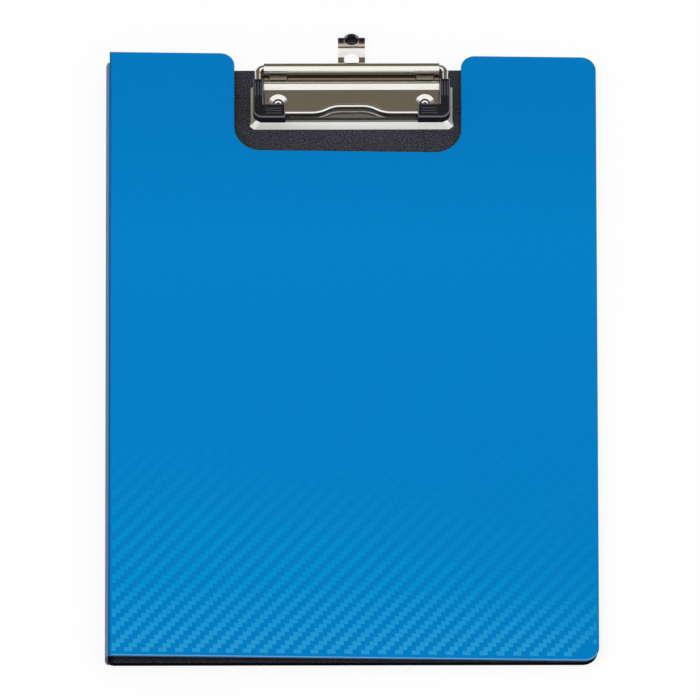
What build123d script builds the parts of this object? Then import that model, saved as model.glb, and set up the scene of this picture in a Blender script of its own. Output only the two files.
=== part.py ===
"""Clipboard folder: back board, bowed spine, notched cover and a wire-lever clip with a hanging eye.

Millimetres. +X towards the free edge, +Y towards the clip, +Z out of the board.
The origin is the centre of the back board's underside.
"""

import os
from math import asin, atan2, cos, degrees, hypot, radians, sin, tan

from build123d import *

os.makedirs("parts", exist_ok=True)

# Folder
board_width = 228.5
board_height = 314.0
board_thickness = 3.0
corner_radius = 7.0
cover_overreach = 5.8
cover_side_overhang = 0.8
skin_thickness = 1.1
lining_thickness = 0.7
lining_inset = 0.15
rim_radius = 0.5
cover_rest_gap = 0.3
notch_gap = 5.5
notch_reach = 45.8
notch_offset = -1.8
notch_mouth_radius = 6.5
notch_floor_radius = 12.5

# Spine and its two creases
spine_chord = 9.1
spine_bow = 0.6
spine_thickness = 1.2
spine_neck = 1.35
bead_radius = 0.5
bead_clearance = 0.05
cut_overrun = 1.0
board_bevel_angle = 30.0
cover_bevel_angle = 34.0

# Inner pocket
pocket_width = 188.0
pocket_low_side = 95.0
pocket_high_side = 190.0
pocket_margin = 5.0
pocket_film = 0.25
pocket_gap = 0.15
pocket_weld = 3.0

# Clip as a whole
pivot_inset = 2.8
pivot_height = 10.5
clip_width = 95.6
flange_width = 6.5
sheet = 1.0
lip_reach = 28.8
lip_gap = 0.1
rim_top_z = 5.9
plate_top_z = 7.9

# Jaw plate's pressed profile
hinge_drop = 2.9
ridge_height = 1.7
crest_radius = 1.2
rise_angle = 45.0
flank_angle = 70.0
curl_sweep = 270.0
lip_spread = 2.2
flange_spread = 3.2
flange_length = 22.0
panel_setback = 3.7
panel_spread = 2.9
panel_side_spread = 0.2
press_radius = 0.5
corner_bevel = 1.4
flange_gap = 0.3
flange_gap_setback = 3.5
window_gap = 0.5
window_lead = 1.0
dimple_radius = 4.45
dimple_floor_radius = 2.5
dimple_depth = 1.0
dimple_edge = 0.6
dimple_root = 0.4

# Base plate and its tongues
base_sheet = 0.8
base_inset = 1.3
base_front_reach = 23.0
tongue_width = 8.0
tongue_bend_radius = 1.0
knuckle_radius = 1.4
knuckle_clearance = 0.1
knuckle_wrap = 225.0
slot_clearance = 0.5
slot_front = 0.3
slot_rear = 2.8
slot_top = 0.6
tongue_root = 2.5
base_corner_radius = 2.0
channel_clearance = 0.35
channel_step_setback = 10.2

# Rivets
rivet_inset = 6.8
rivet_setback = 17.0
rivet_shank_radius = 1.9
rivet_hole_clearance = 0.05
rivet_head_radius = 3.4
rivet_head_height = 0.7
rivet_collar_height = 2.8
rivet_rim_radius = 2.1
rivet_rim_edge = 0.35
rivet_bore_radius = 1.1
rivet_foot_radius = 3.2
rivet_foot_thickness = 0.6
rivet_foot_inset = 0.2

# Wire lever and its sleeves
wire_radius = 1.5
wire_clearance = 0.08
arm_gap = 1.3
arm_bend_radius = 2.8
crossbar_reach = 23.9
crossbar_corner_radius = 4.0
wire_end_length = 15.0
bow_height = 3.5
bow_start = 18.8
bow_end = 5.2
sleeve_lap = 2.6
sleeve_width = 4.85
sleeve_front_reach = 27.6
sleeve_rear_reach = 6.7
sleeve_foot_width = 7.4
sleeve_foot_length = 13.0
sleeve_bottom_gap = 0.3
sleeve_height = 5.0
sleeve_corner_radius = 4.2
sleeve_edge_radius = 1.0
groove_width = 0.6
groove_depth = 0.35
groove_pitch = 1.3
groove_length = 7.5
groove_centre = 5.5
groove_count = 3

# Hanging eye
tab_width = 12.7
tab_sheet = 0.7
tab_clearance = 0.05
tab_reach = 9.4
tab_bend_radius = 2.75
tab_rise_angle = 75.0
tab_rise = 5.6
tab_lobe_radius = 3.45
tab_hole_radius = 3.55
tab_hole_y = 5.4
tab_head_width = 19.0
tab_head_length = 3.0
tab_stop_gap = 0.3
knob_radius = 3.1
knob_thickness = 1.2
knob_stem_radius = 1.2
knob_back_radius = 2.0
knob_back_thickness = 0.6
knob_inset = 0.6

# Places worked out from the sizes above
crease_x = -board_width / 2
board_top_y = board_height / 2
board_mid_z = board_thickness / 2
cover_crease_z = board_mid_z + spine_chord
cover_width = board_width + cover_side_overhang
cover_thickness = skin_thickness + lining_thickness
cover_rest_z = board_thickness + cover_rest_gap + cover_thickness / 2
cover_tilt = degrees(asin((cover_crease_z - cover_rest_z) / cover_width))
pivot_y = board_top_y - pivot_inset
hinge_z = pivot_height - hinge_drop
notch_width = clip_width + 2 * notch_gap
rear_width = clip_width - 2 * flange_width
base_width = rear_width - 2 * base_inset
rivet_spacing = rear_width - 2 * rivet_inset
arm_x = rear_width / 2 + arm_gap + wire_radius
wire_end_x = rear_width / 2 - wire_end_length
sleeve_inner = arm_x - sleeve_lap
sleeve_foot_inner = arm_x - sleeve_foot_length
lip_y = pivot_y - lip_reach
lip_z = board_thickness + lip_gap
plate_mid_z = plate_top_z - sheet / 2
curl_radius = wire_radius + wire_clearance + sheet / 2
valley_radius = knuckle_radius + knuckle_clearance + sheet / 2
hinge_y = pivot_y - curl_radius - valley_radius
knuckle_mid = knuckle_radius - base_sheet / 2
rivet_y = pivot_y - rivet_setback
tab_mid_z = board_thickness + tab_clearance + tab_sheet / 2
channel_rise = tab_sheet + 2 * tab_clearance + base_sheet
sides = (-1, 1)

tilt = radians(cover_tilt)
cover_along = (cos(tilt), 0, -sin(tilt))
cover_plane = Plane(
    origin=(crease_x, 0, cover_crease_z),
    x_dir=cover_along,
    z_dir=(sin(tilt), 0, cos(tilt)),
)
board_crease = Plane(origin=(crease_x, 0, board_mid_z), x_dir=(1, 0, 0), z_dir=(0, -1, 0))
cover_crease = Plane(origin=(crease_x, 0, cover_crease_z), x_dir=cover_along, z_dir=(0, -1, 0))


def on_circle(centre, radius, angle):
    """Point at an angle in degrees on a circle."""
    return (
        centre[0] + radius * cos(radians(angle)),
        centre[1] + radius * sin(radians(angle)),
    )


def crease_cut(half_thickness, bevel_angle):
    """Section taken off a panel's edge: a bevel on both faces and a groove for the crease bead."""
    tall = half_thickness + cut_overrun
    deep = tall / tan(radians(bevel_angle))
    with BuildSketch() as cut:
        with BuildLine():
            Polyline(
                (-cut_overrun, -tall), (deep, -tall), (0, 0), (deep, tall), (-cut_overrun, tall),
                close=True,
            )
        make_face()
        Circle(bead_radius + bead_clearance)
    return cut.sketch


def cover_outline(inset):
    """Outline of the cover in its own plane, with the notch for the clip, drawn in by an inset."""
    bottom = -board_top_y + inset
    top = board_top_y + cover_overreach - inset
    notch_x = notch_offset - crease_x
    notch_floor = board_top_y - notch_reach - inset
    with BuildSketch() as outline:
        with Locations((0, bottom)):
            Rectangle(cover_width - inset, top - bottom, align=(Align.MIN, Align.MIN))
        with Locations((notch_x, notch_floor)):
            Rectangle(
                notch_width + 2 * inset, top - notch_floor,
                align=(Align.CENTER, Align.MIN), mode=Mode.SUBTRACT,
            )
        fillet(outline.vertices().group_by(Axis.Y)[1], notch_floor_radius + inset)
        fillet(outline.vertices().group_by(Axis.Y)[-1].sort_by(Axis.X)[1:3], notch_mouth_radius - inset)
        fillet(outline.vertices().group_by(Axis.X)[-1], corner_radius - inset)
    return outline.sketch


# Back board, bevelled at the crease, with bores and recesses for the rivets
with BuildPart() as back_board:
    with BuildSketch():
        Rectangle(board_width, board_height)
        fillet(vertices().group_by(Axis.X)[-1], corner_radius)
    extrude(amount=board_thickness)
    with BuildSketch(board_crease):
        add(crease_cut(board_thickness / 2, board_bevel_angle))
    extrude(amount=board_height, both=True, mode=Mode.SUBTRACT)
    with BuildSketch():
        with Locations((0, rivet_y)):
            with GridLocations(rivet_spacing, 0, 2, 1):
                Circle(rivet_shank_radius + rivet_hole_clearance)
    extrude(amount=board_thickness, mode=Mode.SUBTRACT)
    with BuildSketch():
        with Locations((0, rivet_y)):
            with GridLocations(rivet_spacing, 0, 2, 1):
                Circle(rivet_foot_radius + rivet_hole_clearance)
    extrude(amount=rivet_foot_thickness + rivet_foot_inset, mode=Mode.SUBTRACT)
back_board.part.label = "back_board"


# Spine strip: an arc between the two crease axes, with a narrow neck and a bead at each
bow_radius = (spine_chord ** 2 / 4 + spine_bow ** 2) / (2 * spine_bow)
bow_half_angle = degrees(asin(spine_chord / 2 / bow_radius))
bow_centre = (bow_radius - spine_bow, spine_chord / 2)
neck_angle = degrees(spine_neck / bow_radius)
outer_bow = bow_radius + spine_thickness / 2
inner_bow = bow_radius - spine_thickness / 2
low_angle = 180 + bow_half_angle - neck_angle
high_angle = 180 - bow_half_angle + neck_angle
with BuildPart() as spine_strip:
    with BuildSketch(board_crease):
        with BuildLine():
            outer_arc = ThreePointArc(
                on_circle(bow_centre, outer_bow, low_angle),
                on_circle(bow_centre, outer_bow, 180),
                on_circle(bow_centre, outer_bow, high_angle),
            )
            Line(outer_arc @ 1, (0, spine_chord))
            inner_arc = ThreePointArc(
                on_circle(bow_centre, inner_bow, high_angle),
                on_circle(bow_centre, inner_bow, 180),
                on_circle(bow_centre, inner_bow, low_angle),
            )
            Line((0, spine_chord), inner_arc @ 0)
            Line(inner_arc @ 1, (0, 0))
            Line((0, 0), outer_arc @ 0)
        make_face()
        with Locations((0, 0), (0, spine_chord)):
            Circle(bead_radius)
    extrude(amount=board_height / 2, both=True)
spine_strip.part.label = "spine_strip"


# Cover: the blue outer layer with its rounded rim
with BuildPart() as front_cover:
    with BuildSketch(cover_plane.offset(lining_thickness - cover_thickness / 2)):
        add(cover_outline(0))
    extrude(amount=skin_thickness)
    outer_face = front_cover.faces().sort_by(SortBy.AREA)[-2:].sort_by(Axis.Z)[-1]
    rim_edges = outer_face.edges().filter_by(lambda edge: edge.center().X > crease_x + cut_overrun)
    fillet(rim_edges, rim_radius)
    with BuildSketch(cover_crease):
        add(crease_cut(cover_thickness / 2, cover_bevel_angle))
    extrude(amount=board_height, both=True, mode=Mode.SUBTRACT)
front_cover.part.label = "front_cover"


# Cover: the black inner layer
with BuildPart() as cover_lining:
    with BuildSketch(cover_plane.offset(-cover_thickness / 2)):
        add(cover_outline(lining_inset))
    extrude(amount=lining_thickness)
    with BuildSketch(cover_crease):
        add(crease_cut(cover_thickness / 2, cover_bevel_angle))
    extrude(amount=board_height, both=True, mode=Mode.SUBTRACT)
cover_lining.part.label = "cover_lining"


# Film pocket inside the cover: welded along three sides, open along its slanted top
pocket_plane = cover_plane.offset(-cover_thickness / 2)
pocket_left = pocket_margin
pocket_right = pocket_left + pocket_width
pocket_floor = pocket_margin - board_height / 2
with BuildPart() as inner_pocket:
    with BuildSketch(pocket_plane):
        with BuildLine():
            Polyline(
                (pocket_left, pocket_floor), (pocket_right, pocket_floor),
                (pocket_right, pocket_floor + pocket_low_side),
                (pocket_left, pocket_floor + pocket_high_side), close=True,
            )
        make_face()
    extrude(amount=-(pocket_film + pocket_gap))
    with BuildSketch(pocket_plane):
        with Locations((pocket_left + pocket_weld, pocket_floor + pocket_weld)):
            Rectangle(
                pocket_width - 2 * pocket_weld, pocket_high_side, align=(Align.MIN, Align.MIN)
            )
    extrude(amount=-pocket_gap, mode=Mode.SUBTRACT)
inner_pocket.part.label = "inner_pocket"


# Jaw plate: a pressed tray in front, and behind it a ridge, a valley and the rolled edge
hinge_point = (hinge_y, hinge_z)
valley_start = on_circle(hinge_point, valley_radius, 270 - flank_angle)
crest_z = plate_mid_z + ridge_height - crest_radius
crest_end_z = crest_z + crest_radius * cos(radians(flank_angle))
flank_run = (crest_end_z - valley_start[1]) / tan(radians(flank_angle))
crest_y = valley_start[0] - flank_run - crest_radius * sin(radians(flank_angle))
crest_start = on_circle((crest_y, crest_z), crest_radius, 90 + rise_angle)
foot_height = crest_radius * (1 - cos(radians(rise_angle)))
rise_run = (crest_start[1] - plate_mid_z - foot_height) / tan(radians(rise_angle))
ridge_start_y = crest_start[0] - rise_run - crest_radius * sin(radians(rise_angle))
window_y = ridge_start_y - window_lead


def pressed_block(front_y, half_width, top_z, spreads, wall):
    """Block with leaning front and sides and bevelled front corners, or its hollow for a wall."""
    rise = top_z - lip_z
    share = (rise - wall) / rise
    front_wall = wall * hypot(rise, spreads[0]) / rise
    side_wall = wall * hypot(rise, spreads[1]) / rise
    with BuildPart() as block:
        for level, lean in ((lip_z, 0), (top_z - wall, share)):
            level_front = front_y + front_wall + lean * spreads[0]
            level_half = half_width - side_wall - lean * spreads[1]
            with BuildSketch(Plane.XY.offset(level)):
                with Locations((0, level_front)):
                    Rectangle(2 * level_half, pivot_y - level_front, align=(Align.CENTER, Align.MIN))
        loft(ruled=True)
        if not wall:
            front_corners = block.edges().filter_by(Plane.XY, reverse=True).sort_by(Axis.Y)[:2]
            chamfer(front_corners, corner_bevel)
            fillet(block.faces().sort_by(Axis.Z)[-1].edges(), press_radius)
    return block.part


def tray_block(wall):
    """The tray's leaning rim, or its hollow."""
    return pressed_block(lip_y, clip_width / 2, rim_top_z, (lip_spread, flange_spread), wall)


def panel_block(wall):
    """The raised panel inside the rim, or its hollow."""
    front_y = lip_y + panel_setback - panel_spread
    half_width = rear_width / 2 + panel_side_spread
    return pressed_block(front_y, half_width, plate_top_z, (panel_spread, panel_side_spread), wall)


with BuildPart() as jaw_plate:
    add(tray_block(0))
    add(panel_block(0))
    add(tray_block(sheet), mode=Mode.SUBTRACT)
    add(panel_block(sheet), mode=Mode.SUBTRACT)
    with BuildSketch():
        with Locations((0, lip_y + flange_length)):
            Rectangle(2 * clip_width, lip_reach, align=(Align.CENTER, Align.MIN))
        with Locations((0, window_y)):
            Rectangle(rear_width + 2 * window_gap, lip_reach, align=(Align.CENTER, Align.MIN))
    extrude(amount=2 * plate_top_z, mode=Mode.SUBTRACT)
    with BuildSketch():
        with Locations((0, lip_y + flange_gap_setback)):
            Rectangle(2 * clip_width, lip_reach, align=(Align.CENTER, Align.MIN))
    extrude(amount=lip_z + flange_gap, mode=Mode.SUBTRACT)
    with BuildLine(Plane.YZ) as profile:
        Line((window_y - window_lead, plate_mid_z), (ridge_start_y, plate_mid_z))
        JernArc(profile.line @ 1, profile.line % 1, crest_radius, rise_angle)
        Line(profile.line @ 1, crest_start)
        JernArc(profile.line @ 1, profile.line % 1, crest_radius, -rise_angle - flank_angle)
        Line(profile.line @ 1, valley_start)
        JernArc(profile.line @ 1, profile.line % 1, valley_radius, flank_angle + 90)
        PolarLine(profile.line @ 1, hinge_drop, direction=profile.line % 1)
        JernArc(profile.line @ 1, profile.line % 1, curl_radius, -curl_sweep)
    with BuildSketch(Plane(origin=profile.line @ 0, x_dir=(1, 0, 0), z_dir=profile.line % 0)):
        Rectangle(rear_width, sheet)
    sweep(path=profile.line)
    with BuildSketch():
        with Locations((0, hinge_y + (slot_front + slot_rear) / 2)):
            with GridLocations(rivet_spacing, 0, 2, 1):
                Rectangle(tongue_width + 2 * slot_clearance, slot_rear - slot_front)
    extrude(amount=hinge_z + slot_top, mode=Mode.SUBTRACT)
    with BuildSketch():
        with Locations((0, rivet_y)):
            with GridLocations(rivet_spacing, 0, 2, 1):
                Circle(dimple_radius)
    extrude(amount=2 * plate_top_z, mode=Mode.SUBTRACT)
    for side in sides:
        dimple = Plane(origin=(side * rivet_spacing / 2, rivet_y, 0), x_dir=(1, 0, 0), z_dir=(0, -1, 0))
        with BuildSketch(dimple):
            with BuildLine():
                Polyline(
                    (dimple_radius, plate_top_z),
                    (dimple_floor_radius, plate_top_z - dimple_depth),
                    (dimple_floor_radius, plate_top_z - dimple_depth - dimple_edge),
                    (dimple_radius + dimple_root, plate_top_z - sheet),
                    (dimple_radius + dimple_root, plate_top_z),
                    close=True,
                )
            make_face()
        revolve(axis=Axis(dimple.origin, (0, 0, 1)))
jaw_plate.part.label = "jaw_plate"


# Base plate: a riveted sheet with a raised channel for the hanging strip and two curled tongues
base_mid_z = board_thickness + base_sheet / 2
base_rear_y = hinge_y + knuckle_mid - tongue_bend_radius
base_front_y = pivot_y - base_front_reach
channel_half = tab_width / 2 + channel_clearance
head_half = tab_head_width / 2 + channel_clearance
channel_step_y = pivot_y - channel_step_setback
with BuildPart() as clip_base_plate:
    with BuildSketch(Plane.XY.offset(board_thickness)):
        with Locations((0, base_front_y)):
            Rectangle(base_width, base_rear_y - base_front_y, align=(Align.CENTER, Align.MIN))
        fillet(vertices(), base_corner_radius)
    extrude(amount=base_sheet)
    for rise, wall in ((channel_rise, base_sheet), (channel_rise - base_sheet, 0)):
        with BuildSketch(Plane.XY.offset(board_thickness)):
            with Locations((0, base_front_y)):
                Rectangle(
                    2 * (channel_half + wall), pivot_y + base_sheet - base_front_y,
                    align=(Align.CENTER, Align.MIN),
                )
                Rectangle(
                    2 * (head_half + wall), channel_step_y + wall - base_front_y,
                    align=(Align.CENTER, Align.MIN),
                )
        extrude(amount=rise, mode=Mode.ADD if wall else Mode.SUBTRACT)
    for side in sides:
        tongue_x = side * rivet_spacing / 2
        with BuildLine(Plane.YZ.offset(tongue_x)) as tongue:
            Line((base_rear_y - tongue_root, base_mid_z), (base_rear_y, base_mid_z))
            JernArc(tongue.line @ 1, tongue.line % 1, tongue_bend_radius, 90)
            Line(tongue.line @ 1, (hinge_y + knuckle_mid, hinge_z))
            JernArc(tongue.line @ 1, tongue.line % 1, knuckle_mid, knuckle_wrap)
        with BuildSketch(Plane(origin=tongue.line @ 0, x_dir=(1, 0, 0), z_dir=tongue.line % 0)):
            Rectangle(tongue_width, base_sheet)
        sweep(path=tongue.line)
    with BuildSketch():
        with Locations((0, rivet_y)):
            with GridLocations(rivet_spacing, 0, 2, 1):
                Circle(rivet_shank_radius + rivet_hole_clearance)
    extrude(amount=2 * board_thickness, mode=Mode.SUBTRACT)
clip_base_plate.part.label = "clip_base_plate"


# Two tubular rivets: sloping head with a collar, shank, and a clinched foot in the board's back
head_z = board_thickness + base_sheet
collar_z = head_z + rivet_collar_height
with BuildPart() as clip_rivets:
    for side in sides:
        rivet_x = side * rivet_spacing / 2
        with BuildSketch(Plane(origin=(rivet_x, rivet_y, 0), x_dir=(1, 0, 0), z_dir=(0, -1, 0))):
            with BuildLine():
                Polyline(
                    (rivet_head_radius, head_z),
                    (rivet_rim_radius, head_z + rivet_head_height),
                    (rivet_rim_radius - rivet_rim_edge, collar_z),
                    (rivet_bore_radius, collar_z - rivet_rim_edge),
                    (rivet_bore_radius, rivet_foot_inset),
                    (rivet_foot_radius, rivet_foot_inset),
                    (rivet_foot_radius, rivet_foot_inset + rivet_foot_thickness),
                    (rivet_shank_radius, rivet_foot_inset + rivet_foot_thickness),
                    (rivet_shank_radius, head_z), close=True,
                )
            make_face()
        revolve(axis=Axis((rivet_x, rivet_y, 0), (0, 0, 1)))
clip_rivets.part.label = "clip_rivets"


def half_lever(side):
    """Corners and bends of the lever's wire from its middle to one end, drawn on one side."""
    bow_run = bow_start - bow_end
    bow_bend = (bow_run ** 2 + bow_height ** 2) / (4 * bow_height)
    bow_angle = 2 * degrees(atan2(bow_height, bow_run))
    bar_y = pivot_y - crossbar_reach
    turn = -side
    with BuildLine(Plane.XY.offset(pivot_height)) as half:
        Line((0, bar_y + bow_height), (side * bow_end, bar_y + bow_height))
        JernArc(half.line @ 1, half.line % 1, bow_bend, turn * bow_angle)
        JernArc(half.line @ 1, half.line % 1, bow_bend, -turn * bow_angle)
        Line(half.line @ 1, (side * (arm_x - crossbar_corner_radius), bar_y))
        JernArc(half.line @ 1, half.line % 1, crossbar_corner_radius, -turn * 90)
        Line(half.line @ 1, (side * arm_x, pivot_y - arm_bend_radius))
        JernArc(half.line @ 1, half.line % 1, arm_bend_radius, -turn * 90)
        Line(half.line @ 1, (side * wire_end_x, pivot_y))
    return half.line


def swept_wire(side, radius):
    """Half of the lever's wire, or the bore for it, as a round bar along its path."""
    path = half_lever(side)
    with BuildPart() as bar:
        with BuildSketch(Plane(origin=path @ 0, z_dir=path % 0)):
            Circle(radius)
        sweep(path=path)
    return bar.part


# Lever: one wire, its ends turned inwards into the jaw plate's rolled edge
with BuildPart() as lever_wire:
    for side in sides:
        add(swept_wire(side, wire_radius))
lever_wire.part.label = "lever_wire"


# Ribbed corner sleeves on the wire
sleeve_z = plate_top_z + sleeve_bottom_gap
sleeve_outer = sleeve_inner + sleeve_width
sleeve_front_y = pivot_y - sleeve_front_reach
sleeve_rear_y = pivot_y - sleeve_rear_reach
sleeves = []
for side, name in ((-1, "lever_sleeve_left"), (1, "lever_sleeve_right")):
    near = Align.MIN if side > 0 else Align.MAX
    with BuildPart() as sleeve:
        with BuildSketch(Plane.XY.offset(sleeve_z)):
            with Locations((side * sleeve_inner, sleeve_front_y)):
                Rectangle(sleeve_width, sleeve_rear_y - sleeve_front_y, align=(near, Align.MIN))
            with Locations((side * sleeve_foot_inner, sleeve_front_y)):
                Rectangle(
                    sleeve_outer - sleeve_foot_inner, sleeve_foot_width, align=(near, Align.MIN)
                )
            outer_corner = vertices().sort_by(lambda corner: corner.Y - side * corner.X)[0]
            fillet(outer_corner, sleeve_corner_radius)
        extrude(amount=sleeve_height)
        fillet(sleeve.faces().sort_by(Axis.Z)[-1].edges(), sleeve_edge_radius)
        with BuildSketch(Plane.XY.offset(sleeve_z + sleeve_height)):
            with Locations((side * (sleeve_inner + sleeve_width / 2), sleeve_rear_y - groove_centre)):
                with GridLocations(groove_pitch, 0, groove_count, 1):
                    Rectangle(groove_width, groove_length)
            foot_mid_y = sleeve_front_y + sleeve_foot_width / 2
            with Locations((side * (sleeve_foot_inner + groove_centre), foot_mid_y)):
                with GridLocations(0, groove_pitch, 1, groove_count):
                    Rectangle(groove_length, groove_width)
        extrude(amount=-groove_depth, mode=Mode.SUBTRACT)
        add(swept_wire(side, wire_radius + bead_clearance), mode=Mode.SUBTRACT)
    sleeve.part.label = name
    sleeves.append(sleeve)


# Hanging eye: a strip with a hole, a wider inner end and an up-turned end with a round lobe
tab_bend_start = board_top_y + tab_reach
tab_head_y = channel_step_y - tab_stop_gap - tab_head_length
with BuildPart() as hanger_tab:
    with BuildLine(Plane.YZ) as tab_line:
        Line((tab_head_y, tab_mid_z), (tab_bend_start, tab_mid_z))
        JernArc(tab_line.line @ 1, tab_line.line % 1, tab_bend_radius, tab_rise_angle)
        PolarLine(tab_line.line @ 1, tab_rise, direction=tab_line.line % 1)
    with BuildSketch(Plane(origin=tab_line.line @ 0, x_dir=(1, 0, 0), z_dir=tab_line.line % 0)):
        Rectangle(tab_width, tab_sheet)
    sweep(path=tab_line.line)
    with BuildSketch(Plane.XY.offset(tab_mid_z - tab_sheet / 2)):
        with Locations((0, tab_head_y)):
            Rectangle(tab_head_width, tab_head_length, align=(Align.CENTER, Align.MIN))
    extrude(amount=tab_sheet)
    with BuildSketch():
        with Locations((0, board_top_y + tab_hole_y)):
            Circle(tab_hole_radius)
    extrude(amount=plate_top_z, mode=Mode.SUBTRACT)
    knob_centre = (tab_line.line @ 1) - (tab_line.line % 1) * knob_inset
    knob_plane = Plane(
        origin=knob_centre, x_dir=(1, 0, 0), z_dir=(tab_line.line % 1).rotate(Axis.X, 90)
    )
    with BuildSketch(knob_plane.offset(-tab_sheet / 2)):
        Circle(tab_lobe_radius)
    extrude(amount=tab_sheet)
    with BuildSketch(knob_plane.offset(-tab_sheet)):
        Circle(knob_stem_radius + bead_clearance)
    extrude(amount=2 * tab_sheet, mode=Mode.SUBTRACT)
hanger_tab.part.label = "hanger_tab"


# Round button riveted through the lobe
with BuildPart() as hanger_knob:
    with BuildSketch(knob_plane.offset(tab_sheet / 2)):
        Circle(knob_radius)
    extrude(amount=knob_thickness)
    with BuildSketch(knob_plane.offset(tab_sheet / 2)):
        Circle(knob_stem_radius)
    extrude(amount=-tab_sheet)
    with BuildSketch(knob_plane.offset(-tab_sheet / 2)):
        Circle(knob_back_radius)
    extrude(amount=-knob_back_thickness)
hanger_knob.part.label = "hanger_knob"

for node in (
    back_board, spine_strip, front_cover, cover_lining, inner_pocket, clip_base_plate, clip_rivets,
    jaw_plate, lever_wire, *sleeves, hanger_tab, hanger_knob,
):
    export_step(node.part, f"parts/{node.part.label}.step")
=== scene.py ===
"""Looks of the clipboard folder: finishes, embossed cover, floor, lights and camera."""
import math

import bpy
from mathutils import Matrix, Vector


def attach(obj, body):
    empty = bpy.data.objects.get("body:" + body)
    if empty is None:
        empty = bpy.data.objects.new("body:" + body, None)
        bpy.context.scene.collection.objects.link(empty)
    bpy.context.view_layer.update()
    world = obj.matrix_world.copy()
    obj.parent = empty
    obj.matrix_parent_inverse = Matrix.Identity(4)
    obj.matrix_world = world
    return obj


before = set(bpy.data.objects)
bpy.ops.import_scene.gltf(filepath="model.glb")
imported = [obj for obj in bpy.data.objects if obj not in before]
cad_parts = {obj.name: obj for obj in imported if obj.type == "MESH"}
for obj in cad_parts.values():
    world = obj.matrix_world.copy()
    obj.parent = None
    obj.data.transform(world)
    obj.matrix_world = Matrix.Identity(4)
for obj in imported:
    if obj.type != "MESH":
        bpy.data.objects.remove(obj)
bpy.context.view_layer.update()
scene = bpy.context.scene

# Sizes in metres, in the frame of the CAD part
COVER_WIDTH = 0.2293
COVER_BOTTOM, COVER_TOP = -0.157, 0.1628
COVER_THICKNESS = 0.0018
CREASE_X, CREASE_HEIGHT = -0.11425, 0.0106
FREE_EDGE_HEIGHT = 0.0042
NOTCH_HALF_WIDTH = 0.0533
NOTCH_CENTRE = -0.0018
NOTCH_FLOOR = 0.1112
FLOOR_GAP = 0.0003
GROOVE_LEVEL = 0.01305
GROOVE_BAND = 0.0008
GROOVE_FADE = 0.0001

# Stretches in which a finish, or a painted light or shade, fades in or out: along X
CREASE_FADE = (-0.1136, -0.1128)
RIM_START = (-0.1128, -0.1122)
FLANGE_TO_FLANGE = (-0.04, 0.04)

# Along Y
COVER_SPAN = (-0.157, 0.163)
FRONT_RIM = (-0.1555, -0.1505)
LIP_BACK = (0.1276, 0.1280)
SLOPE_BACK = (0.1335, 0.1340)
VALLEY_FRONT = (0.1480, 0.1486)
BRIGHT_END = (0.1634, 0.1640)
UPTURNED_END = (0.1665, 0.1672)

# Along Z
LIP_TOP = (0.0054, 0.0059)
SLOPE_FOOT = (0.0058, 0.0060)
SLOPE_HEIGHT = (0.0059, 0.0079)
VALLEY_DEPTH = (0.0060, 0.0090)
VALLEY_TOP = (0.0092, 0.0098)
SPINE_TOP = (0.0092, 0.0102)

# Along a slanted line on the cover: this many times Y, plus X
SLANT = 2.2
SLANT_SPAN = (-0.275, -0.085)

# How squarely a surface faces along a direction, 0 to 1, where a finish, or a painted light or shade, starts
# and where it is full
COAT_FACING = (0.15, 0.45)
FLAT_FACING = (0.95, 0.98)
ROUNDED_FACING = (0.10, 0.35)
FLANGE_FACING = (0.52, 0.62)
SLOPE_FACING = (0.08, 0.25)
UNDERSIDE_FACING = (0.50, 0.64)
LEVEL_FACING = (0.55, 0.75)
UPRIGHT_FACING = (0.90, 0.96)

# The same for a steep surface, which is full below the first value and ends at the second
STEEP_FACING = (0.75, 0.97)

# The room: the floor's share of glow, the soft light's strength, and the brown wall behind the folder,
# which leans by a share of the height and fades in past its edge and out at its sides
FLOOR_GLOW = 0.85
SOFT_LIGHT = 0.55
WALL_LEAN = -0.22
WALL_EDGE = (-0.03, 0.05)
WALL_SIDES = (0.74, 0.84)

# Twill: floats made as low pillows, two yarns wide, which step one yarn to the right in each row
YARN_PITCH = 0.00197
ROW_PITCH = 0.00224
WEAVE_PERIOD = 4
WEAVE_COLUMNS = 32
PILLOW_TOP = 0.00006
PILLOW_FOOT = -0.000005
PILLOW_SLOPE = 0.00042
LEAST_PILLOW = 0.0012
CREASE_MARGIN = 0.0019
FREE_MARGIN = 0.0011
END_MARGIN = 0.0012
FIRST_ROW_GAP = 0.0006
NOTCH_MARGIN = 0.0016
CORNER_REACH = 0.007
CORNER_CUT = 0.0055

# Directions in an object's own space
RIGHT = (1.0, 0.0, 0.0)
UP_THE_BOARD = (0.0, 1.0, 0.0)
OUT = (0.0, 0.0, 1.0)

# Linear colours
# Painted highlight on the sleeves' groove floors
GROOVE_HIGHLIGHT_GREY = (0.085, 0.085, 0.105)
# Painted shade in the cover's crease
CREASE_SHADE_BLUE = (0.003, 0.085, 0.25)
# Painted shade on the cover's rounded rim, and a painted highlight on its front
RIM_SHADE_BLUE = (0.010, 0.145, 0.28)
RIM_HIGHLIGHT_BLUE = (0.17, 0.40, 0.68)
# Painted highlight on the spine's top by the crease
SPINE_HIGHLIGHT_SLATE = (0.10, 0.20, 0.34)
# Painted shade in the hollows of the nickel parts
HOLLOW_SHADE_BROWN = (0.08, 0.068, 0.052)
# Painted highlight on the jaw plate's lip and the hanging strip's end
HIGHLIGHT_PALE_METAL = (1.0, 0.98, 0.94)
# Painted reflection of the dark board on the wire's lower half
WIRE_REFLECTION_DARK = (0.05, 0.05, 0.055)
# Painted reflection, tan, on the hanging strip's up-turned end
STRIP_REFLECTION_TAN = (0.68, 0.61, 0.52)
ROOM_WHITE = (0.95, 0.95, 0.93)
ROOM_BROWN = (0.126, 0.104, 0.076)

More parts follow.
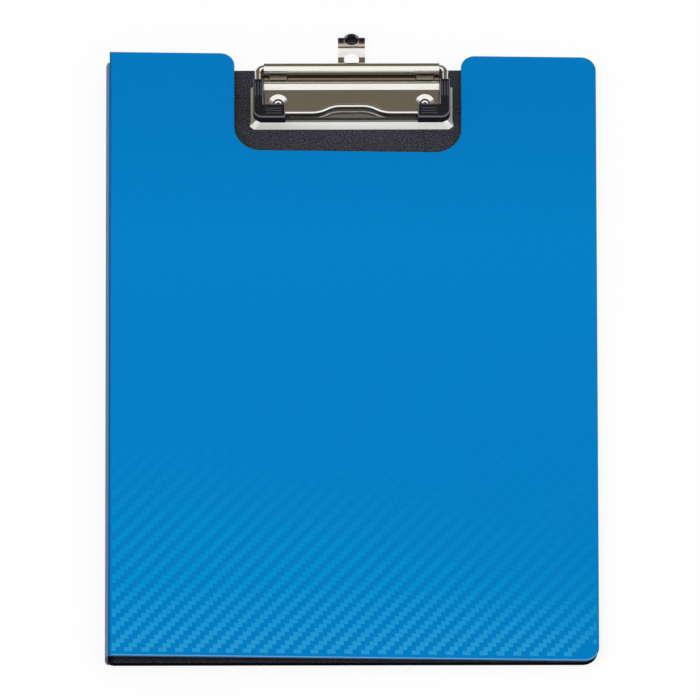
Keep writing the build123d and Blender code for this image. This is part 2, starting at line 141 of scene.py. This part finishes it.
# Blues by height up the cover: of its body, and of the twill's floats, which carry a painted sheen that is
# lightest at the bottom
BODY = (
    (0.0, (0.0, 0.198, 0.515)), (0.22, (0.0, 0.204, 0.545)), (0.5, (0.0, 0.207, 0.560)),
    (0.78, (0.0, 0.215, 0.560)), (1.0, (0.0, 0.188, 0.520)),
)
FLOAT_SHEEN = (
    (0.0, (0.018, 0.299, 0.634)), (0.007, (0.009, 0.291, 0.614)), (0.037, (0.0, 0.274, 0.587)),
    (0.104, (0.0, 0.253, 0.577)), (0.19, (0.0, 0.229, 0.562)), (0.32, (0.0, 0.214, 0.557)),
    (0.41, (0.0, 0.211, 0.558)), *BODY[2:],
)

crease = Vector((CREASE_X, 0.0, CREASE_HEIGHT))
tilt = math.asin((CREASE_HEIGHT - FREE_EDGE_HEIGHT) / COVER_WIDTH)
along = Vector((math.cos(tilt), 0.0, -math.sin(tilt)))
normal = Vector((math.sin(tilt), 0.0, math.cos(tilt)))


def nodes_of(owner, output="ShaderNodeOutputMaterial"):
    """Empty node tree of a material or world with its output node."""
    owner.use_nodes = True
    tree = owner.node_tree
    tree.nodes.clear()
    return tree, tree.nodes.new(output)


def link(tree, source, target):
    """Connects an output to an input."""
    tree.links.new(source, target)


def feed(tree, value, target):
    """Gives an input a plain number or connects an output to it."""
    if isinstance(value, float):
        target.default_value = value
    else:
        link(tree, value, target)


def noise(tree, scale, detail=4.0, stretch=(1, 1, 1)):
    """Noise in the object's own space, as a value from 0 to 1."""
    place = tree.nodes.new("ShaderNodeTexCoord")
    mapping = tree.nodes.new("ShaderNodeMapping")
    mapping.inputs["Scale"].default_value = stretch
    texture = tree.nodes.new("ShaderNodeTexNoise")
    texture.inputs["Scale"].default_value = scale
    texture.inputs["Detail"].default_value = detail
    link(tree, place.outputs["Object"], mapping.inputs["Vector"])
    link(tree, mapping.outputs["Vector"], texture.inputs["Vector"])
    return texture.outputs["Fac"]


def ramp(tree, value, *stops):
    """Colour ramp through (position, linear colour) stops."""
    node = tree.nodes.new("ShaderNodeValToRGB")
    elements = node.color_ramp.elements
    while len(elements) < len(stops):
        elements.new(0.5)
    for element, (position, colour) in zip(elements, stops):
        element.position = position
        element.color = (*colour, 1.0)
    link(tree, value, node.inputs["Fac"])
    return node.outputs["Color"]


def spread(tree, value, low, high, to_low, to_high):
    """Value mapped smoothly from one range to another, held at its ends."""
    node = tree.nodes.new("ShaderNodeMapRange")
    node.interpolation_type = "SMOOTHSTEP"
    limits = {"From Min": low, "From Max": high, "To Min": to_low, "To Max": to_high}
    for name, number in limits.items():
        node.inputs[name].default_value = number
    link(tree, value, node.inputs["Value"])
    return node.outputs["Result"]


def rising(tree, value, low, high):
    """Mask that goes from 0 to 1 between two values."""
    return spread(tree, value, low, high, 0.0, 1.0)


def falling(tree, value, low, high):
    """Mask that goes from 1 to 0 between two values."""
    return spread(tree, value, low, high, 1.0, 0.0)


def calculated(tree, operation, *values):
    """Result of a math node on outputs and numbers."""
    node = tree.nodes.new("ShaderNodeMath")
    node.operation = operation
    for value, target in zip(values, node.inputs):
        feed(tree, value, target)
    return node.outputs["Value"]


def product(tree, first, second):
    """Two values multiplied."""
    return calculated(tree, "MULTIPLY", first, second)


def mixed(tree, factor, first, second, blend="MIX"):
    """Two colours mixed by a factor."""
    node = tree.nodes.new("ShaderNodeMix")
    node.data_type = "RGBA"
    node.blend_type = blend
    feed(tree, factor, node.inputs["Factor"])
    link(tree, first, node.inputs["A"])
    link(tree, second, node.inputs["B"])
    return node.outputs["Result"]


def mixed_shader(tree, factor, first, second):
    """Two shaders mixed by a factor."""
    node = tree.nodes.new("ShaderNodeMixShader")
    link(tree, factor, node.inputs["Fac"])
    link(tree, first, node.inputs[1])
    link(tree, second, node.inputs[2])
    return node.outputs["Shader"]


def constant(tree, colour):
    """Plain colour as a node output."""
    node = tree.nodes.new("ShaderNodeRGB")
    node.outputs["Color"].default_value = (*colour, 1.0)
    return node.outputs["Color"]


def object_axis(tree, axis):
    """One coordinate of the shaded point in the object's own space, in metres."""
    place = tree.nodes.new("ShaderNodeTexCoord")
    parts = tree.nodes.new("ShaderNodeSeparateXYZ")
    link(tree, place.outputs["Object"], parts.inputs["Vector"])
    return parts.outputs[axis]


def facing(tree, direction):
    """How squarely the surface faces along a direction in the object's own space, 0 to 1."""
    shape = tree.nodes.new("ShaderNodeNewGeometry")
    turn = tree.nodes.new("ShaderNodeVectorTransform")
    turn.vector_type = "NORMAL"
    turn.convert_from = "WORLD"
    turn.convert_to = "OBJECT"
    link(tree, shape.outputs["Normal"], turn.inputs["Vector"])
    dot = tree.nodes.new("ShaderNodeVectorMath")
    dot.operation = "DOT_PRODUCT"
    dot.inputs[1].default_value = direction
    link(tree, turn.outputs["Vector"], dot.inputs[0])
    return calculated(tree, "ABSOLUTE", dot.outputs["Value"])


def steepness(tree, up):
    """How far the surface turns away from a direction, 0 to 1."""
    return falling(tree, facing(tree, up), *STEEP_FACING)


def bumped(tree, height, strength, distance):
    """Normal pushed by a height."""
    node = tree.nodes.new("ShaderNodeBump")
    node.inputs["Strength"].default_value = strength
    node.inputs["Distance"].default_value = distance
    link(tree, height, node.inputs["Height"])
    return node.outputs["Normal"]


def surface(name, specular=0.5):
    """New material with one principled shader."""
    material = bpy.data.materials.new(name)
    tree, output = nodes_of(material)
    shader = tree.nodes.new("ShaderNodeBsdfPrincipled")
    shader.inputs["Specular IOR Level"].default_value = specular
    shader.inputs["Coat IOR"].default_value = 2.2
    shader.inputs["Coat Roughness"].default_value = 0.12
    link(tree, shader.outputs["BSDF"], output.inputs["Surface"])
    return material, tree, shader


def uneven(tree, shader, speck, roughness, swing):
    """Roughness that varies with a noise."""
    level = spread(tree, speck, 0.2, 0.8, roughness - swing, roughness + swing)
    link(tree, level, shader.inputs["Roughness"])


def grained_black(name, dark, light, grain, bump, roughness,
                  specular=0.45, coat=0.0, edge_specular=0.45, groove=0.0):
    """Black plastic with a fine moulded grain on its faces and smooth, darker edges.

    A coat makes the rounded edges shine, and a groove level paints a grey highlight on the flat faces just
    below it.
    """
    material, tree, shader = surface(name, specular)
    speck = noise(tree, grain, detail=3.0)
    face = ramp(tree, speck, (0.42, dark), (0.78, light))
    walls = steepness(tree, OUT)
    upward = spread(tree, facing(tree, OUT), *COAT_FACING, 0.0, coat)
    link(tree, product(tree, walls, upward), shader.inputs["Coat Weight"])
    edges = spread(tree, walls, 0.0, 1.0, specular, edge_specular)
    link(tree, edges, shader.inputs["Specular IOR Level"])
    if groove:
        height = object_axis(tree, "Z")
        above = rising(tree, height, groove - GROOVE_BAND, groove - GROOVE_BAND + GROOVE_FADE)
        level = product(tree, above, falling(tree, height, groove - GROOVE_FADE, groove))
        flat = rising(tree, facing(tree, OUT), *FLAT_FACING)
        # Painted highlight: the flat groove floors are lit grey
        face = mixed(tree, product(tree, level, flat), face, constant(tree, GROOVE_HIGHLIGHT_GREY))
    link(tree, mixed(tree, walls, face, constant(tree, dark)), shader.inputs["Base Color"])
    link(tree, bumped(tree, speck, bump, 0.0001), shader.inputs["Normal"])
    uneven(tree, shader, speck, roughness, 0.06)
    return material


def tinted(material, axis, low, high, colour):
    """Blends a material's base colour into another one along an axis of the object."""
    tree = material.node_tree
    base = tree.nodes["Principled BSDF"].inputs["Base Color"]
    plain = base.links[0].from_socket
    mask = rising(tree, object_axis(tree, axis), low, high)
    link(tree, mixed(tree, mask, plain, constant(tree, colour)), base)


def blue_plastic(name, stops, roughness, plain=None):
    """Blue satin plastic: colours by height up the cover, painted shade in the crease, and a rounded rim
    painted with shade on its sides and a highlight in front.

    With plain stops, the colours, such as the floats' painted sheen, fade into those towards the free edge,
    the sooner the higher up.
    """
    material, tree, shader = surface(name, specular=0.02)
    height = object_axis(tree, "Y")
    across = object_axis(tree, "X")
    speck = noise(tree, 900.0, detail=3.0)
    share = rising(tree, height, *COVER_SPAN)
    body = ramp(tree, share, *stops)
    if plain:
        slant = calculated(tree, "MULTIPLY_ADD", height, SLANT, across)
        fade = spread(tree, slant, *SLANT_SPAN, 0.0, 0.7)
        body = mixed(tree, fade, body, ramp(tree, share, *plain))
    grey = ramp(tree, speck, (0.3, (0.965, 0.965, 0.965)), (0.7, (1.0, 1.0, 1.0)))
    grain = mixed(tree, 1.0, body, grey, "MULTIPLY")
    # Painted shade darkens the cover towards the crease
    crease_shade_mask = falling(tree, across, *CREASE_FADE)
    crease_shaded = mixed(tree, crease_shade_mask, grain, constant(tree, CREASE_SHADE_BLUE))
    # The rounded rim is painted with shade, and with a pale highlight along the front
    rounded = rising(tree, facing(tree, tuple(normal)), *ROUNDED_FACING)
    beyond = product(tree, rising(tree, across, *RIM_START), rounded)
    rim = product(tree, steepness(tree, tuple(normal)), beyond)
    front = falling(tree, height, *FRONT_RIM)
    edge = mixed(tree, front, constant(tree, RIM_SHADE_BLUE), constant(tree, RIM_HIGHLIGHT_BLUE))
    link(tree, mixed(tree, rim, crease_shaded, edge), shader.inputs["Base Color"])
    link(tree, bumped(tree, speck, 0.08, 0.00005), shader.inputs["Normal"])
    uneven(tree, shader, speck, roughness, 0.04)
    return material


def valley(tree):
    """Mask, colour and metal share of the painted shade and brown reflection in the jaw plate's valley under
    its rolled edge, paler near its top.
    """
    height = object_axis(tree, "Z")
    inside = rising(tree, object_axis(tree, "Y"), *VALLEY_FRONT)
    mask = product(tree, inside, falling(tree, height, *VALLEY_TOP))
    tones = ((0.0, (0.20, 0.17, 0.135)), (0.6, (0.13, 0.11, 0.088)), (1.0, (0.45, 0.39, 0.31)))
    return mask, ramp(tree, rising(tree, height, *VALLEY_DEPTH), *tones), 1.0


def side_flange(tree):
    """Mask, colour and metal share of the jaw plate's side flanges, painted pale with light, darker on the
    left and paler on the right.
    """
    mask = rising(tree, facing(tree, RIGHT), *FLANGE_FACING)
    across = rising(tree, object_axis(tree, "X"), *FLANGE_TO_FLANGE)
    return mask, ramp(tree, across, (0.0, (0.42, 0.39, 0.28)), (1.0, (0.80, 0.77, 0.68))), 0.35


def front_lip(tree):
    """Mask, colour and metal share of the jaw plate's turned-down lip, painted bright as a highlight."""
    ahead = falling(tree, object_axis(tree, "Y"), *LIP_BACK)
    mask = product(tree, ahead, falling(tree, object_axis(tree, "Z"), *LIP_TOP))
    return mask, constant(tree, HIGHLIGHT_PALE_METAL), 0.12


def panel_front(tree):
    """Mask, colour and metal share of the slope before the jaw plate's raised panel, painted grey low down
    and dark with painted shade at its top.
    """
    height = object_axis(tree, "Z")
    ahead = falling(tree, object_axis(tree, "Y"), *SLOPE_BACK)
    sloping = product(tree, ahead, rising(tree, facing(tree, UP_THE_BOARD), *SLOPE_FACING))
    mask = product(tree, sloping, rising(tree, height, *SLOPE_FOOT))
    tones = ((0.40, (0.42, 0.40, 0.36)), (0.50, (0.05, 0.042, 0.035)))
    return mask, ramp(tree, rising(tree, height, *SLOPE_HEIGHT), *tones), 0.5


def underside(tree):
    """Mask, colour and metal share of the wire's lower half, painted dark as a reflection of the dark board.
    """
    mask = rising(tree, facing(tree, UP_THE_BOARD), *UNDERSIDE_FACING)
    return mask, constant(tree, WIRE_REFLECTION_DARK), 1.0


def strip_end(tree):
    """Mask, colour and metal share of the hanging strip's end before its bend, painted bright as a
    reflection.
    """
    beyond = rising(tree, object_axis(tree, "Y"), *BRIGHT_END)
    level = rising(tree, facing(tree, OUT), *LEVEL_FACING)
    return product(tree, beyond, level), constant(tree, HIGHLIGHT_PALE_METAL), 0.12


def upturned(tree):
    """Mask, colour and metal share of the hanging strip's up-turned end, painted tan as a reflection."""
    upright = rising(tree, facing(tree, UP_THE_BOARD), *UPRIGHT_FACING)
    mask = product(tree, upright, rising(tree, object_axis(tree, "Y"), *UPTURNED_END))
    return mask, constant(tree, STRIP_REFLECTION_TAN), 1.0


def nickel(name, colour, roughness, stretch, *patches):
    """Bright nickel plate with faint rolling marks, painted shade in its hollows, and painted light, shade
    and reflections on its patches.
    """
    material, tree, shader = surface(name)
    shader.inputs["Metallic"].default_value = 1.0
    metal = None
    marks = noise(tree, 700.0, detail=5.0, stretch=stretch)
    bright = ramp(tree, marks, (0.3, tuple(0.96 * c for c in colour)), (0.7, colour))
    # Painted shade: ambient occlusion turns the hollows brown
    hollow = tree.nodes.new("ShaderNodeAmbientOcclusion")
    hollow.samples = 6
    hollow.inputs["Distance"].default_value = 0.002
    shade = falling(tree, hollow.outputs["AO"], 0.2, 0.6)
    tone = mixed(tree, shade, bright, constant(tree, HOLLOW_SHADE_BROWN))
    for patch in patches:
        mask, patch_colour, metallic = patch(tree)
        tone = mixed(tree, mask, tone, patch_colour)
        if metallic < 1.0:
            share = spread(tree, mask, 0.0, 1.0, 1.0, metallic)
            metal = product(tree, metal, share) if metal else share
    if metal:
        link(tree, metal, shader.inputs["Metallic"])
    link(tree, tone, shader.inputs["Base Color"])
    link(tree, bumped(tree, marks, 0.05, 0.00002), shader.inputs["Normal"])
    uneven(tree, shader, marks, roughness, 0.03)
    return material


def clear_film(name):
    """Thin clear film, slightly uneven."""
    material = bpy.data.materials.new(name)
    tree, output = nodes_of(material)
    clear = tree.nodes.new("ShaderNodeBsdfTransparent")
    gloss = tree.nodes.new("ShaderNodeBsdfPrincipled")
    speck = noise(tree, 25.0, detail=1.0)
    grey = ramp(tree, speck, (0.3, (0.60, 0.62, 0.65)), (0.7, (0.64, 0.66, 0.69)))
    link(tree, grey, gloss.inputs["Base Color"])
    uneven(tree, gloss, speck, 0.17, 0.05)
    thickness = spread(tree, speck, 0.2, 0.8, 0.09, 0.12)
    film_shader = mixed_shader(tree, thickness, clear.outputs["BSDF"], gloss.outputs["BSDF"])
    link(tree, film_shader, output.inputs["Surface"])
    return material


board_black = grained_black("board_black", (0.004, 0.004, 0.007), (0.126, 0.126, 0.166),
                            grain=1700.0, bump=0.5, roughness=0.5, specular=0.3, edge_specular=0.0)
spine_black = grained_black("spine_black", (0.038, 0.046, 0.074), (0.066, 0.078, 0.116),
                            grain=900.0, bump=0.25, roughness=0.42)
# Painted highlight: the spine's top by the crease turns slate
tinted(spine_black, "Z", *SPINE_TOP, SPINE_HIGHLIGHT_SLATE)
lining_black = grained_black("lining_black", (0.014, 0.017, 0.025), (0.030, 0.034, 0.045),
                             grain=900.0, bump=0.25, roughness=0.42)
smooth = {"grain": 500.0, "bump": 0.05, "roughness": 0.2, "specular": 0.6, "coat": 1.0, "edge_specular": 0.4}
sleeve_black = grained_black("sleeve_black", (0.008, 0.008, 0.014), (0.014, 0.014, 0.022),
                             groove=GROOVE_LEVEL, **smooth)
knob_black = grained_black("knob_black", (0.008, 0.008, 0.014), (0.014, 0.014, 0.022), **smooth)
cover_blue = blue_plastic("cover_blue", BODY, 0.46)
# The floats carry a painted sheen, lightest at the bottom of the cover
float_sheen_blue = blue_plastic("float_sheen_blue", FLOAT_SHEEN, 0.40, BODY)
plate_nickel = nickel("plate_nickel", (0.97, 0.95, 0.91), 0.20, (1.0, 8.0, 8.0),
                      valley, side_flange, front_lip, panel_front)
tab_nickel = nickel("tab_nickel", (0.92, 0.90, 0.86), 0.14, (8.0, 1.0, 1.0), strip_end, upturned)
# Painted shade: the base plate's knuckles get a darker copy of the nickel
shaded_base_nickel = nickel("shaded_base_nickel", (0.24, 0.21, 0.18), 0.22, (1.0, 8.0, 8.0))
wire_nickel = nickel("wire_nickel", (0.95, 0.94, 0.91), 0.10, (1.0, 1.0, 1.0), underside)
film = clear_film("film")

finishes = {
    "back_board": board_black,
    "spine_strip": spine_black,
    "cover_lining": lining_black,
    "front_cover": cover_blue,
    "inner_pocket": film,
    "jaw_plate": plate_nickel,
    "clip_base_plate": shaded_base_nickel,
    "clip_rivets": wire_nickel,
    "lever_wire": wire_nickel,
    "hanger_tab": tab_nickel,
    "lever_sleeve_left": sleeve_black,
    "lever_sleeve_right": sleeve_black,
    "hanger_knob": knob_black,
}
for name, finish in finishes.items():
    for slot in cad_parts[name].material_slots:
        slot.material = finish


# Embossed twill on the cover
def on_cover(u, y, height):
    """Point on the cover's outer face, u from the crease."""
    point = crease + along * u + normal * (COVER_THICKNESS / 2 + height)
    return (point.x, y, point.z)


def in_notch(u, y):
    """True near the notch, where the emboss stops."""
    x = crease.x + u
    return abs(x - NOTCH_CENTRE) < NOTCH_HALF_WIDTH + NOTCH_MARGIN and y > NOTCH_FLOOR - NOTCH_MARGIN


def add_pillow(u0, u1, y0, y1):
    """Adds one pillow: four corners at its foot, four at its top, and the five faces between them."""
    first = len(vertices)
    corners = ((u0, y0), (u1, y0), (u1, y1), (u0, y1))
    insets = ((1, 1), (-1, 1), (-1, -1), (1, -1))
    for u, y in corners:
        vertices.append(on_cover(u, y, PILLOW_FOOT))
    for (u, y), (right, up) in zip(corners, insets):
        vertices.append(on_cover(u + right * PILLOW_SLOPE, y + up * PILLOW_SLOPE, PILLOW_TOP))
    for k in range(4):
        n = (k + 1) % 4
        faces.append((first + k, first + n, first + 4 + n, first + 4 + k))
    faces.append((first + 4, first + 5, first + 6, first + 7))


low_u, high_u = CREASE_MARGIN, COVER_WIDTH - FREE_MARGIN
low_y, high_y = COVER_BOTTOM + END_MARGIN, COVER_TOP - END_MARGIN
repeat = WEAVE_PERIOD * YARN_PITCH
vertices, faces = [], []
row = 0
row_y = low_y + FIRST_ROW_GAP
while row_y + ROW_PITCH < high_y:
    top_y = row_y + ROW_PITCH
    start = -repeat + (row % WEAVE_PERIOD) * YARN_PITCH
    for column in range(WEAVE_COLUMNS):
        left = start + column * repeat
        left_u, right_u = max(left, low_u), min(left + 2 * YARN_PITCH, high_u)
        near_end = min(row_y - low_y, high_y - top_y)
        cut_off = right_u - left_u < LEAST_PILLOW
        at_notch = in_notch(left_u, top_y) or in_notch(right_u, top_y)
        at_corner = right_u > high_u - CORNER_REACH and near_end < CORNER_CUT
        if not (cut_off or at_notch or at_corner):
            add_pillow(left_u, right_u, row_y, top_y)
    row_y += ROW_PITCH
    row += 1
mesh = bpy.data.meshes.new("cover_emboss")
mesh.from_pydata(vertices, [], faces)
mesh.update()
emboss = bpy.data.objects.new("cover_emboss", mesh)
scene.collection.objects.link(emboss)
mesh.materials.append(float_sheen_blue)
for polygon in mesh.polygons:
    polygon.use_smooth = False
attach(emboss, "cover")


# Floor: pale, white to the camera, and it keeps the folder's shadow
bpy.ops.mesh.primitive_plane_add(size=30.0, location=(0, 0, -FLOOR_GAP))
floor = bpy.context.object
floor.name = "floor"
floor_paint = bpy.data.materials.new("floor_paint")
tree, output = nodes_of(floor_paint)
paint = tree.nodes.new("ShaderNodeBsdfDiffuse")
speck = noise(tree, 3.0, detail=2.0)
link(tree, ramp(tree, speck, (0.3, (0.93, 0.93, 0.93)), (0.7, (0.95, 0.95, 0.95))), paint.inputs["Color"])
glow = tree.nodes.new("ShaderNodeEmission")
glow.inputs["Strength"].default_value = 1.0
paths = tree.nodes.new("ShaderNodeLightPath")
seen = calculated(tree, "MAXIMUM", paths.outputs["Is Camera Ray"], paths.outputs["Is Glossy Ray"])
share = product(tree, seen, FLOOR_GLOW)
floor_shader = mixed_shader(tree, share, paint.outputs["BSDF"], glow.outputs["Emission"])
link(tree, floor_shader, output.inputs["Surface"])
floor.data.materials.append(floor_paint)


def background(tree, strength):
    """White background shader of a world."""
    node = tree.nodes.new("ShaderNodeBackground")
    node.inputs["Color"].default_value = (1.0, 1.0, 1.0, 1.0)
    node.inputs["Strength"].default_value = strength
    return node


# World: white to the camera; metal sees a white room in front and overhead, and a brown-grey one behind
world = bpy.data.worlds.new("room")
scene.world = world
tree, output = nodes_of(world, "ShaderNodeOutputWorld")
place = tree.nodes.new("ShaderNodeTexCoord")
parts = tree.nodes.new("ShaderNodeSeparateXYZ")
link(tree, place.outputs["Generated"], parts.inputs["Vector"])
lean = calculated(tree, "MULTIPLY_ADD", parts.outputs["Z"], WALL_LEAN, parts.outputs["Y"])
middle = falling(tree, calculated(tree, "ABSOLUTE", parts.outputs["X"]), *WALL_SIDES)
behind = product(tree, rising(tree, lean, *WALL_EDGE), middle)
glossy_room = background(tree, 1.0)
link(tree, ramp(tree, behind, (0.0, ROOM_WHITE), (1.0, ROOM_BROWN)), glossy_room.inputs["Color"])
soft_room = background(tree, SOFT_LIGHT)
white_room = background(tree, 1.0)
paths = tree.nodes.new("ShaderNodeLightPath")
lit = mixed_shader(tree, paths.outputs["Is Glossy Ray"],
                   soft_room.outputs["Background"], glossy_room.outputs["Background"])
seen = calculated(tree, "MAXIMUM", paths.outputs["Is Camera Ray"], paths.outputs["Is Transmission Ray"])
link(tree, mixed_shader(tree, seen, lit, white_room.outputs["Background"]), output.inputs["Surface"])


def softbox(name, place, size, power):
    """Square area light aimed at the folder's middle."""
    data = bpy.data.lights.new(name, "AREA")
    data.shape = "SQUARE"
    data.size = size
    data.energy = power
    light = bpy.data.objects.new(name, data)
    light.location = place
    light.rotation_euler = (-Vector(place)).to_track_quat("-Z", "Y").to_euler()
    light.visible_glossy = False
    scene.collection.objects.link(light)


softbox("key_light", (-0.9, -0.7, 2.0), 1.4, 16.0)
softbox("fill_light", (1.1, -0.5, 1.8), 1.6, 8.0)
softbox("top_light", (0.1, 1.0, 2.0), 1.4, 8.0)

# Camera: a long lens above the folder's bottom edge
ELEVATION = math.radians(62.0)
ROLL = math.radians(-0.1)
DISTANCE = 14.578
TARGET = Vector((-0.00094, 0.0080, 0.003))
camera_data = bpy.data.cameras.new("camera")
camera_data.lens = 1600.0
camera_data.sensor_width = 36.0
camera_data.clip_start = 0.1
camera_data.clip_end = 60.0
camera = bpy.data.objects.new("camera", camera_data)
back = Vector((0.0, -math.cos(ELEVATION), math.sin(ELEVATION)))
camera.location = TARGET + back * DISTANCE
camera.rotation_euler = (-back).to_track_quat("-Z", "Y").to_euler()
camera.rotation_euler.rotate_axis("Z", ROLL)
scene.collection.objects.link(camera)
scene.camera = camera

scene.view_settings.view_transform = "Standard"
